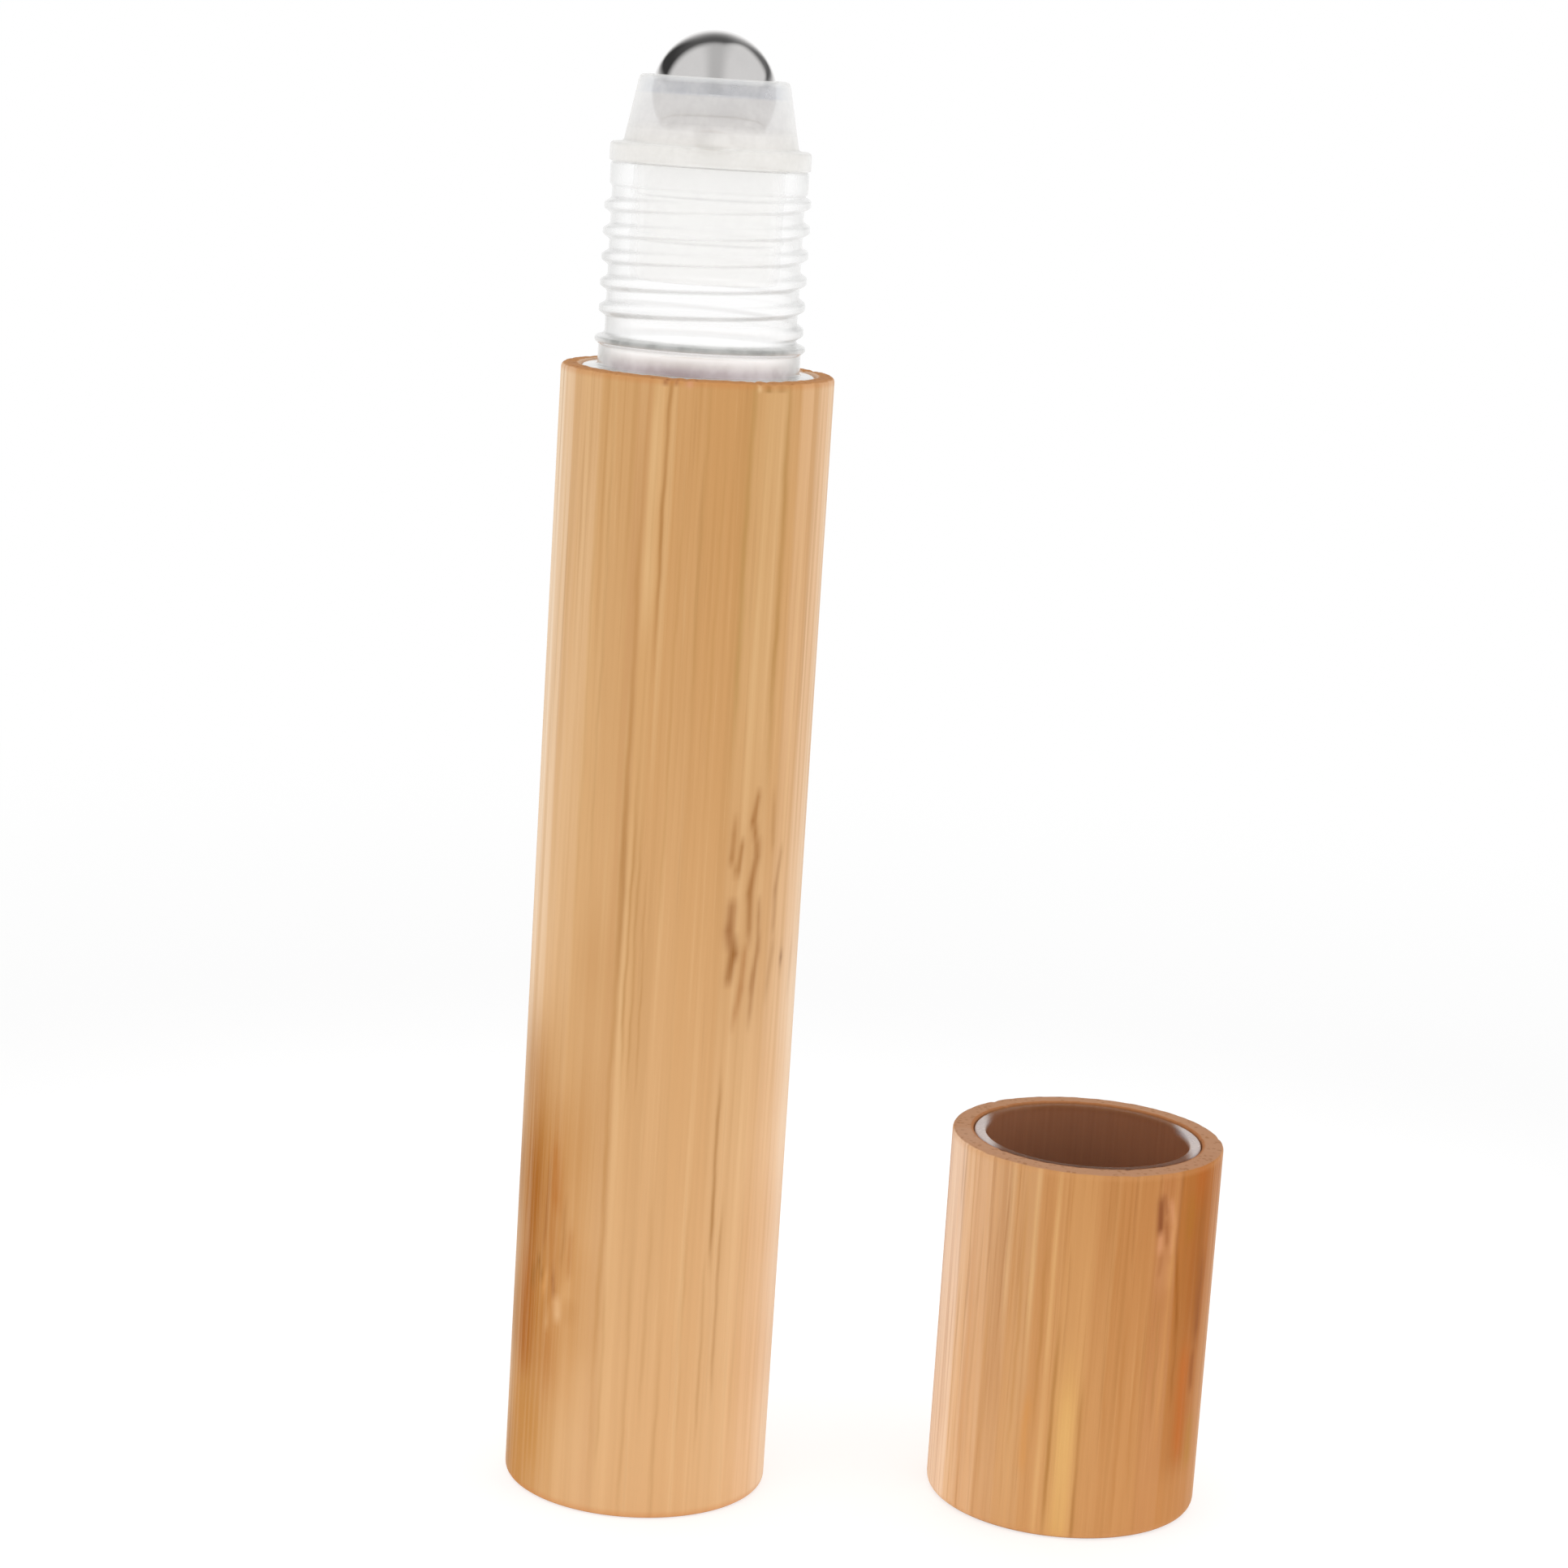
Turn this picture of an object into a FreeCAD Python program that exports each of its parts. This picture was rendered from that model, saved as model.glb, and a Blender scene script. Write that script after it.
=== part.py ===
import FreeCAD, Part
import math
import os

# A refillable roll-on bottle with its cap taken off. A clear vial is glued into a bamboo
# sleeve, a press-in roller fitment holds a steel ball in the vial's neck, and the bamboo
# screw cap stands mouth up beside the bottle.
# Millimetres, +Z up, origin at the centre of the sleeve's underside, cap towards +X.

# Bamboo: the sleeve and the slightly wider cap shell are turned and drilled blind
body_diameter = 20.0
sleeve_wall = 1.35
sleeve_height = 85.3
sleeve_floor = 3.0
sleeve_end_bevel = 0.5
sleeve_rim_bevel = 0.4
cap_diameter = 20.7
cap_wall = 1.6
cap_floor = 2.9
cap_end_bevel = 0.7
cap_rim_bevel = 0.25

# Glue film between the bamboo and what is pushed into it
glue_gap = 0.08

# Clear vial: body, shoulder, collar, stop bead, plain neck under the screw thread, top land
vial_wall = 1.1
vial_floor = 1.2
vial_base_bevel = 1.0
base_recess = 0.7
base_foot_width = 1.2
shoulder_drop = 0.1
shoulder_bevel = 0.3
neck_height = 14.6
neck_wall = 1.3
thread_room = 0.77
bead_clearance = 0.07
bead_proud = 0.3
bead_rise = 1.45
bead_height = 0.8
bead_slope = 0.25
land_height = 1.6
land_proud = 0.2
neck_rim_bevel = 0.2

# Roller fitment: plug with sealing rings, flange on the neck's rim, tapered ball socket
plug_clearance = 0.05
plug_length = 8.3
plug_wall = 0.9
plug_lead_in = 0.8
seal_proud = 0.15
seal_height = 0.7
seal_slope = 0.2
seal_first = 1.6
seal_spacing = 3.2
flange_thickness = 1.4
flange_overhang = 0.1
flange_bevel = 0.2
cone_height = 4.9
cone_taper = 0.95
cone_edge_bevel = 0.35
lip_wall = 1.0
lip_start = 0.3
seat_width = 1.5
throat_length = 0.9
groove_count = 4
groove_width = 0.8
groove_depth = 0.3

# Steel ball, trapped because the socket closes in above its equator
ball_diameter = 9.0
ball_clearance = 0.06
ball_drop = 1.15

# Cap: moulded liner with a soft pad that presses on the ball when the cap is screwed down
liner_wall = 0.9
liner_floor = 0.8
liner_recess = 0.1
liner_corner_bevel = 0.6
liner_rim_bevel = 0.2
pad_thickness = 1.0
pad_squeeze = 0.2
pad_clearance = 0.1

# Where the cap stands beside the bottle
cap_gap = 12.8
cap_set_back = 0.65

# Radii, from the bamboo inwards
body_radius = body_diameter / 2
sleeve_bore = body_radius - sleeve_wall
vial_radius = sleeve_bore - glue_gap
cap_radius = cap_diameter / 2
cap_bore = cap_radius - cap_wall
liner_radius = cap_bore - glue_gap
liner_bore = liner_radius - liner_wall
neck_radius = liner_bore - thread_room
neck_bore = neck_radius - neck_wall
bead_radius = liner_bore - bead_clearance
collar_radius = bead_radius - bead_proud
land_radius = neck_radius + land_proud
flange_radius = land_radius + flange_overhang
seal_radius = neck_bore - plug_clearance
plug_radius = seal_radius - seal_proud
plug_bore = plug_radius - plug_wall

# Ball socket and the cone around it
ball_radius = ball_diameter / 2
socket_radius = ball_radius + ball_clearance
lip_radius = math.sqrt(socket_radius ** 2 - ball_drop ** 2)
cone_top_radius = lip_radius + lip_wall
cone_foot_radius = cone_top_radius + cone_taper
throat_radius = ball_radius - seat_width

# The seat is a 45 degree cone that would touch the socket's sphere: radius plus depth below
# the ball's centre is the same all over it
seat_sum = socket_radius * math.sqrt(2)

# Heights, from the floor upwards
shoulder_height = sleeve_height - shoulder_drop
neck_top = sleeve_height + neck_height
flange_top = neck_top + flange_thickness
cone_top = flange_top + cone_height
ball_centre = cone_top - ball_drop
ball_top = ball_centre + ball_radius
seat_top = ball_centre - (seat_sum - socket_radius)
seat_bottom = ball_centre - (seat_sum - throat_radius)

# The closed cap's rim meets the sleeve's rim while its pad is squeezed on the ball
cap_inside = ball_top - sleeve_height - pad_squeeze + pad_thickness
cap_height = cap_inside + liner_floor + cap_floor
cap_place = FreeCAD.Vector(body_radius + cap_gap + cap_radius, cap_set_back, 0)

origin = FreeCAD.Vector(0, 0, 0)
upward = FreeCAD.Vector(0, 0, 1)
full_turn = 360
bevel_share = 0.45


def bevel_points(before, corner, after, size):
    # Two points that cut one corner off, the cut limited by the corner's two sides
    sides = [before.sub(corner), after.sub(corner)]
    reach = min(size, bevel_share * min(side.Length for side in sides))
    return [corner + side * (reach / side.Length) for side in sides]


def turned(corners):
    # Solid of revolution about Z: a corner is its radius, its height and an optional bevel
    points = [FreeCAD.Vector(radius, 0, height) for radius, height, *bevel in corners]
    outline = []
    for index, (radius, height, *bevel) in enumerate(corners):
        before = points[index - 1]
        after = points[(index + 1) % len(points)]
        outline += bevel_points(before, points[index], after, *bevel) if bevel else [points[index]]
    face = Part.Face(Part.makePolygon(outline + outline[:1]))
    return face.revolve(origin, upward, full_turn)


def ring_corners(radius_below, proud_radius, radius_above, bottom, top, slope):
    # Four corners of a ring with sloped flanks that stands proud of what is below and above it
    return [
        (radius_below, bottom),
        (proud_radius, bottom + slope),
        (proud_radius, top - slope),
        (radius_above, top),
    ]


def drilled_blank(radius, bore, height, floor, end_bevel, rim_bevel):
    # Bamboo cup: flat floor, straight bore, eased edges
    return turned([
        (0, 0),
        (radius, 0, end_bevel),
        (radius, height, rim_bevel),
        (bore, height),
        (bore, floor),
        (0, floor),
    ])


def make_sleeve():
    # The bottle's body, closed at the bottom
    return drilled_blank(
        body_radius, sleeve_bore, sleeve_height, sleeve_floor, sleeve_end_bevel, sleeve_rim_bevel
    )


def make_cap_shell():
    # The outside of the cap, which stands on its closed end
    return drilled_blank(cap_radius, cap_bore, cap_height, cap_floor, cap_end_bevel, cap_rim_bevel)


def make_vial():
    # Bottle-shaped vial that stands on the sleeve's floor on a foot ring round a hollow base
    foot_inside = vial_radius - vial_base_bevel - base_foot_width
    inner_radius = vial_radius - vial_wall
    inner_floor = sleeve_floor + base_recess + vial_floor
    inner_shoulder = shoulder_height - vial_wall
    taper_start = inner_shoulder - (inner_radius - neck_bore)
    bead_bottom = sleeve_height + bead_rise
    land_bottom = neck_top - land_height
    outside = [
        (0, sleeve_floor + base_recess),
        (foot_inside - base_recess, sleeve_floor + base_recess),
        (foot_inside, sleeve_floor),
        (vial_radius, sleeve_floor, vial_base_bevel),
        (vial_radius, shoulder_height, shoulder_bevel),
        (collar_radius, shoulder_height),
    ]
    bead = ring_corners(
        collar_radius, bead_radius, neck_radius, bead_bottom, bead_bottom + bead_height, bead_slope
    )
    neck = [
        (neck_radius, land_bottom - land_proud),
        (land_radius, land_bottom),
        (land_radius, neck_top, neck_rim_bevel),
        (neck_bore, neck_top),
    ]
    inside = [
        (neck_bore, inner_shoulder),
        (inner_radius, taper_start),
        (inner_radius, inner_floor),
        (0, inner_floor),
    ]
    return turned(outside + bead + neck + inside)


def feed_groove():
    # One straight channel down the ball's seat, its floor parallel to the seat
    floor_step = groove_depth * math.sqrt(2)
    seat_depth = turned([
        (0, seat_bottom - floor_step),
        (throat_radius, seat_bottom - floor_step),
        (socket_radius, seat_top - floor_step),
        (socket_radius, seat_top),
        (0, seat_top),
    ])
    corner = FreeCAD.Vector(0, -groove_width / 2, seat_bottom - floor_step)
    bar = Part.makeBox(socket_radius, groove_width, seat_top - seat_bottom + floor_step, corner)
    return bar.common(seat_depth)


def make_housing():
    # Plug with sealing rings, flange and cone outside, ball socket and feed bore inside
    plug_end = neck_top - plug_length
    throat_bottom = seat_bottom - throat_length
    plug = [
        (plug_bore, plug_end),
        (plug_radius - seal_proud, plug_end),
        (plug_radius, plug_end + plug_lead_in),
    ]
    ring_room = plug_length - plug_lead_in - seal_first - seal_height
    ring_count = int(ring_room // seal_spacing) + 1
    for index in reversed(range(ring_count)):
        ring_top = neck_top - seal_first - index * seal_spacing
        ring_bottom = ring_top - seal_height
        plug += ring_corners(plug_radius, seal_radius, plug_radius, ring_bottom, ring_top, seal_slope)
    head = [
        (plug_radius, neck_top),
        (flange_radius, neck_top),
        (flange_radius, flange_top, flange_bevel),
        (cone_foot_radius, flange_top),
        (cone_top_radius, cone_top, cone_edge_bevel),
    ]
    inside = [
        (lip_radius, cone_top),
        (socket_radius, ball_centre + lip_start),
        (socket_radius, seat_top),
        (throat_radius, seat_bottom),
        (throat_radius, throat_bottom),
        (plug_bore, throat_bottom - (plug_bore - throat_radius)),
    ]
    housing = turned(plug + head + inside)
    # The grooves let oil reach the ball past its seat
    groove = feed_groove()
    for index in range(groove_count):
        placed_groove = groove.copy()
        placed_groove.rotate(origin, upward, full_turn * index / groove_count)
        housing = housing.cut(placed_groove)
    return housing


def make_liner():
    # Moulded inner cup of the cap, its rim a little below the bamboo's rim
    liner_rim = cap_height - liner_recess
    inner_floor = cap_floor + liner_floor
    return turned([
        (0, cap_floor),
        (liner_radius, cap_floor),
        (liner_radius, liner_rim),
        (liner_bore, liner_rim, liner_rim_bevel),
        (liner_bore, inner_floor, liner_corner_bevel),
        (0, inner_floor),
    ])


def make_pad():
    # Soft disc that lies on the liner's floor, inside its beveled corner
    pad_radius = liner_bore - liner_corner_bevel - pad_clearance
    pad_bottom = cap_floor + liner_floor
    pad = Part.makeCylinder(pad_radius, pad_thickness)
    pad.translate(upward * pad_bottom)
    return pad


bottle_pieces = {
    "bamboo_sleeve": make_sleeve(),
    "vial": make_vial(),
    "roller_housing": make_housing(),
    "roller_ball": Part.makeSphere(ball_radius, FreeCAD.Vector(0, 0, ball_centre)),
}
cap_pieces = {
    "cap_shell": make_cap_shell(),
    "cap_liner": make_liner(),
    "cap_seal_pad": make_pad(),
}
for shape in cap_pieces.values():
    shape.translate(cap_place)

os.makedirs("parts", exist_ok=True)
for name, shape in {**bottle_pieces, **cap_pieces}.items():
    shape.exportStep(f"parts/{name}.step")
    print(name, "valid" if shape.isValid() else "not valid", len(shape.Solids), round(shape.Volume, 1))
print("cap height", round(cap_height, 2), "ball top", round(ball_top, 2))
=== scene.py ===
import bpy
import math
import numpy as np
from mathutils import Euler, Matrix, Vector
from types import SimpleNamespace


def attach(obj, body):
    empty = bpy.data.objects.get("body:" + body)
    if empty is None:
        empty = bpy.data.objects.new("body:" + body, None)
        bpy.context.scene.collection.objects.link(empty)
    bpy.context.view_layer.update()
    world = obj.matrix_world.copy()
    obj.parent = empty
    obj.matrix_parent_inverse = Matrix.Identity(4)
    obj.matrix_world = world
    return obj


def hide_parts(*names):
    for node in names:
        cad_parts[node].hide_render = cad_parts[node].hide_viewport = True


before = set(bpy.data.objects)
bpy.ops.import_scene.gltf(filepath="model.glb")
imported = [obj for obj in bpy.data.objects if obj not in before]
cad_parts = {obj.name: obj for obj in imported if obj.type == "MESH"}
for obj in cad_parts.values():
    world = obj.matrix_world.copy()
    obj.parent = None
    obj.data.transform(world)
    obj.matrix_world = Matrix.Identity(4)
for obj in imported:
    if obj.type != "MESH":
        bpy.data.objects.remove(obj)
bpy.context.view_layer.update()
mm = 0.001  # in metres
print("frame loaded, nodes:", len(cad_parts))


def inScene(name, data):
    piece = bpy.data.objects.new(name, data)
    bpy.context.scene.collection.objects.link(piece)
    return piece


# Shapes: every piece is turned, so each is an outline carried round an axis

def easedOutline(corners, steps=7, most=0.48):
    # A corner is radius, height and an optional easing. The eased corner is the parabola
    # (1-s)^2 first + 2s(1-s) corner + s^2 last between points at the easing's distance on both sides,
    # which take at most the given share of a side
    points = np.array([corner[:2] for corner in corners], float)
    share = np.linspace(0, 1, steps)[:, None]
    outline = []
    for index, corner in enumerate(corners):
        point = points[index]
        if len(corner) < 3:
            outline.append(point[None])
            continue
        sides = [points[index - 1] - point, points[(index + 1) % len(points)] - point]
        first, last = [point + side * min(corner[2] / np.hypot(*side), most) for side in sides]
        outline.append((1 - share) ** 2 * first + 2 * share * (1 - share) * point + share ** 2 * last)
    return np.concatenate(outline)


def closerRows(outline, spacing):
    # The same outline with points added evenly on its runs, none further apart than the spacing
    runs = np.hypot(*np.diff(outline, axis=0).T)
    counts = np.maximum(np.ceil(runs / spacing), 1).astype(int)
    owner = np.repeat(np.arange(len(runs)), counts)
    part = (np.arange(counts.sum()) - np.repeat(np.cumsum(counts) - counts, counts)) / counts[owner]
    return np.vstack([outline[owner] + part[:, None] * (outline[owner + 1] - outline[owner]), outline[-1:]])


def degreesRound(columns):
    # Angles from the front, -180 to 180, growing towards +X
    return np.arange(columns) * 360 / columns - 180


def carriedRound(outline, columns):
    # Angles as one row, the outline's radii and heights as columns
    return degreesRound(columns)[None, :], outline[:, :1], outline[:, 1:]


def turnedMesh(name, radius, height, columns, axis=(0, 0), loop=False, paint=None, creaseDegrees=48):
    # Rows follow the outline and columns go round: x = r sin a, y = -r cos a, z = height, all in mm.
    # An open outline starts and ends on the axis, where each pole is one point; a loop closes on itself
    radius, height = np.broadcast_arrays(radius, height, np.zeros(columns))[:2]
    rows = len(radius)
    angle = np.radians(degreesRound(columns))[None, :]
    grid = np.stack([axis[0] + radius * np.sin(angle), axis[1] - radius * np.cos(angle), height], axis=2)
    below = np.arange(rows if loop else rows - 1)[:, None]
    here = np.arange(columns)[None, :]
    nextOne = (here + 1) % columns
    above = (below + 1) % rows
    corners = [below * columns + here, below * columns + nextOne,
               above * columns + nextOne, above * columns + here]
    quads = np.stack(corners, axis=2)
    points = grid.reshape(-1, 3)
    if loop:
        faces = quads.reshape(-1, 4).tolist()
    else:
        last = (rows - 1) * columns
        bottom = np.stack([np.zeros(columns, int), columns + nextOne[0], columns + here[0]], axis=1)
        before = last - columns
        top = np.stack([before + here[0], before + nextOne[0], np.full(columns, last)], axis=1)
        shift = columns - 1  # the first and the last row become one point each
        moved = [np.maximum(part - shift, 0) for part in (quads[1:-1].reshape(-1, 4), bottom, top)]
        faces = sum([part.tolist() for part in moved], [])
        points = np.vstack([points[:1], points[columns:last], points[last:last + 1]])
    mesh = bpy.data.meshes.new(name)
    mesh.from_pydata((points * mm).tolist(), [], faces)
    if paint is not None:  # one colour with its cover for each point, in the order of the points
        kept = np.vstack([paint[0, :1], paint[1:-1].reshape(-1, 4), paint[-1, :1]])
        layer = mesh.attributes.new("grainAndLightPaint", "FLOAT_COLOR", "POINT")
        layer.data.foreach_set("color", kept.astype(np.float32).ravel())
    mesh.shade_smooth()
    mesh.set_sharp_from_angle(angle=math.radians(creaseDegrees))
    return inScene(name, mesh)


def placePiece(piece, body, node, material):
    piece.data.materials.append(material)
    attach(piece, body)
    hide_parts(node)
    print(piece.name, "faces:", len(piece.data.polygons))


def ramp(value, low, high):
    # Smooth step from 0 at low to 1 at high
    share = np.clip((value - low) / (high - low), 0, 1)
    return share * share * (3 - 2 * share)


def between(value, low, high, fade):
    # 1 from low to high, fading out at both ends
    return ramp(value, low, low + fade) * (1 - ramp(value, high - fade, high))


def bell(value, middle, width):
    return np.exp(-((value - middle) / width) ** 2)


def threadRise(degrees, height, thread):
    # Helix: the crest is at start + pitch (a - 90) / 360 + pitch k. The rise falls off smoothly with the
    # distance from the nearest crest and tapers out at both ends of the winding
    turn = (degrees - 90) / 360
    wound = (height - thread["start"]) / thread["pitch"] - turn
    nearest = np.round(wound)
    away = np.abs(wound - nearest) * thread["pitch"]
    flank = 1 - ramp(away, thread["crestWidth"] / 2, thread["footWidth"] / 2)
    ends = between(nearest + turn, thread["firstTurn"], thread["lastTurn"], thread["runOut"])
    return thread["depth"] * flank * ends


# Node helpers; id_data of a socket is the node tree that it is in

def screenColour(code):
    # Hex colour as it looks on screen, turned into the linear values that shaders use
    channel = np.array([int(code[place:place + 2], 16) for place in (1, 3, 5)]) / 255
    linear = np.where(channel <= 0.04045, channel / 12.92, ((channel + 0.055) / 1.055) ** 2.4)
    return (*linear.tolist(), 1.0)


def feed(socket, value):
    if isinstance(value, bpy.types.NodeSocket):
        socket.id_data.links.new(value, socket)
    else:
        socket.default_value = value


def addNode(tree, kind, inputs=None, **settings):
    node = tree.nodes.new("ShaderNode" + kind)
    for key, value in settings.items():
        setattr(node, key, value)
    for key, value in (inputs or {}).items():
        feed(node.inputs[key], value)
    return node


def calc(operation, *values):
    return addNode(values[0].id_data, "Math", dict(enumerate(values)), operation=operation).outputs[0]


def times(first, second):
    return calc("MULTIPLY", first, second)


def timesPlus(first, second, third):
    return calc("MULTIPLY_ADD", first, second, third)


def axes(vector):
    return addNode(vector.id_data, "SeparateXYZ", {0: vector}).outputs


def step(value, low, high, start=0.0, end=1.0):
    inputs = {0: value, 1: low, 2: high, 3: start, 4: end}
    return addNode(value.id_data, "MapRange", inputs, interpolation_type="SMOOTHSTEP").outputs[0]


def mixColour(factor, first, second):
    node = addNode(factor.id_data, "Mix", {0: factor, 6: first, 7: second}, data_type="RGBA")
    return node.outputs[2]


def mixValue(factor, first, second):
    return addNode(factor.id_data, "Mix", {0: factor, 2: first, 3: second}).outputs[0]


def tinted(colour, share, code):
    # The colour with a share of a plain one mixed in
    return mixColour(share, colour, screenColour(code))


def stretched(vector, scale):
    return addNode(vector.id_data, "VectorMath", {0: vector, 1: scale}, operation="MULTIPLY").outputs[0]


def fromAxis(place):
    # Distance from the upright axis
    flat = stretched(place, (1, 1, 0))
    return addNode(place.id_data, "VectorMath", {0: flat}, operation="LENGTH").outputs["Value"]


def noise(vector, *values):
    inputs = dict(zip(("Scale", "Detail", "Roughness", "Distortion"), values))
    return addNode(vector.id_data, "TexNoise", {"Vector": vector, **inputs}).outputs["Fac"]


def speckled(surface, smooth, rough):
    # Roughness that goes from one value to another with a surface's fine specks
    return step(surface["Speck"], 0.3, 0.8, smooth, rough)


def raised(shader, height, strength, depth):
    # Fine relief, its depth in mm
    inputs = {"Height": height, "Strength": strength, "Distance": depth * mm}
    feed(shader["Normal"], addNode(height.id_data, "Bump", inputs).outputs[0])


def colourRamp(share, stops):
    # A stop is a position and a colour with its cover; the first and the last are at 0 and 1
    ramped = addNode(share.id_data, "ValToRGB", {0: share})
    elements = ramped.color_ramp.elements
    elements[0].color, elements[1].color = stops[0][1], stops[-1][1]
    for position, colour in stops[1:-1]:
        elements.new(position).color = colour
    return ramped.outputs["Color"], ramped.outputs["Alpha"]


def newGroup(name, inputs, outputs):
    group = bpy.data.node_groups.new(name, "ShaderNodeTree")
    for label, kind in inputs.items():
        group.interface.new_socket(name=label, in_out="INPUT", socket_type="NodeSocket" + kind)
    for label in outputs:
        group.interface.new_socket(name=label, in_out="OUTPUT", socket_type="NodeSocketFloat")
    return group, group.nodes.new("NodeGroupInput").outputs, group.nodes.new("NodeGroupOutput").inputs


def useGroup(tree, group, inputs):
    return addNode(tree, "Group", inputs, node_tree=group).outputs


def newMaterial(name, **sockets):
    material = bpy.data.materials.new(name)
    material.use_nodes = True
    tree = material.node_tree
    shader = tree.nodes["Principled BSDF"]
    for key, value in sockets.items():
        shader.inputs[key].default_value = value
    return material, tree, shader.inputs


def placeInMm(tree, axis=(0, 0)):
    # Object coordinates in millimetres with the piece's own axis at zero
    coordinates = addNode(tree, "TexCoord").outputs["Object"]
    inputs = {"Vector": coordinates, "Location": (-axis[0], -axis[1], 0), "Scale": (1000, 1000, 1000)}
    return addNode(tree, "Mapping", inputs).outputs[0]


# Shared effects

fibreSizes = {  # how much of the height counts, scale, detail, roughness, distortion
    "Fine": (0.018, 3.4, 4, 0.62, 0.0),
    "Dark": (0.024, 2.3, 2, 0.5, 0.15),
    "Band": (0.014, 1.15, 2, 0.55, 0.0),
    "Tone": (0.07, 0.42, 3, 0.5, 0.0),
}
mouldSizes = {"Cloud": (0.35, 3, 0.55), "Speck": (5.5, 2, 0.6)}  # scale, detail, roughness


def makeFibreGroup(sizes):
    # Bamboo fibres: noise squeezed across and drawn out along the axis, in four sizes. Pores are the middles
    # of cells in the cross section
    group, given, result = newGroup("bambooFibres", {"Place": "Vector", "Shift": "Float"}, [*sizes, "Pores"])
    shift = addNode(group, "CombineXYZ", {"X": given["Shift"], "Y": given["Shift"]}).outputs[0]
    place = addNode(group, "VectorMath", {0: given["Place"], 1: shift}, operation="ADD").outputs[0]
    for name, (along, *values) in sizes.items():
        streaks = noise(stretched(place, (1, 1, along)), *values)
        if name == "Dark":  # only the strongest streaks
            streaks = step(streaks, low=0.6, high=0.74)
        feed(result[name], streaks)
    cells = addNode(group, "TexVoronoi", {"Vector": stretched(place, (1, 1, 0)), "Scale": 1.9})
    feed(result["Pores"], step(cells.outputs["Distance"], low=0.36, high=0.2))
    return group


def makeMouldGroup(sizes):
    # Moulded and polished surfaces: a slow cloud and fine specks
    group, given, result = newGroup("mouldedSurface", {"Place": "Vector", "Size": "Float"}, sizes)
    place = addNode(group, "VectorMath", {0: given["Place"], 3: given["Size"]}, operation="SCALE").outputs[0]
    for name, values in sizes.items():
        feed(result[name], noise(place, *values))
    return group


fibreGroup = makeFibreGroup(fibreSizes)
mouldGroup = makeMouldGroup(mouldSizes)
print("shared effects ready")


# Bamboo

bambooFinish = {
    "coat": 0.02, "gloss": 0.03, "jointWaver": 1.6, "endAmount": 0.9, "poreAmount": 0.65,
    "rawRoughness": 0.25, "darkRelief": -0.6, "markRelief": -0.25, "poreRelief": -1.5,
    "tints": [  # fibre output, its levels where the tint starts and where it is full, amount, colour
        ("Tone", 0.35, 0.7, "toneAmount", "toneColour"), ("Band", 0.5, 0.3, "bandAmount", "fibreColour"),
        ("Band", 0.52, 0.72, "bandAmount", "paleColour"), ("Fine", 0.5, 0.28, "fibreAmount", "fibreColour"),
        ("Fine", 0.55, 0.75, "fibreAmount", "paleColour")],
}


def stripColour(degrees, strips, span=200, halfJoint=0.004):
    # One colour for each glued strip, with a narrow soft joint; the ramp has zero degrees in its middle
    colours = [screenColour(code) for start, code in strips]
    stops = [(0.0, colours[0])]
    for (start, code), earlier, colour in zip(strips[1:], colours, colours[1:]):
        joint = start / span + 0.5
        stops += [(joint - halfJoint, earlier), (joint + halfJoint, colour)]
    return colourRamp(timesPlus(degrees, 1 / span, 0.5), stops + [(1.0, colours[-1])])[0]


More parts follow.
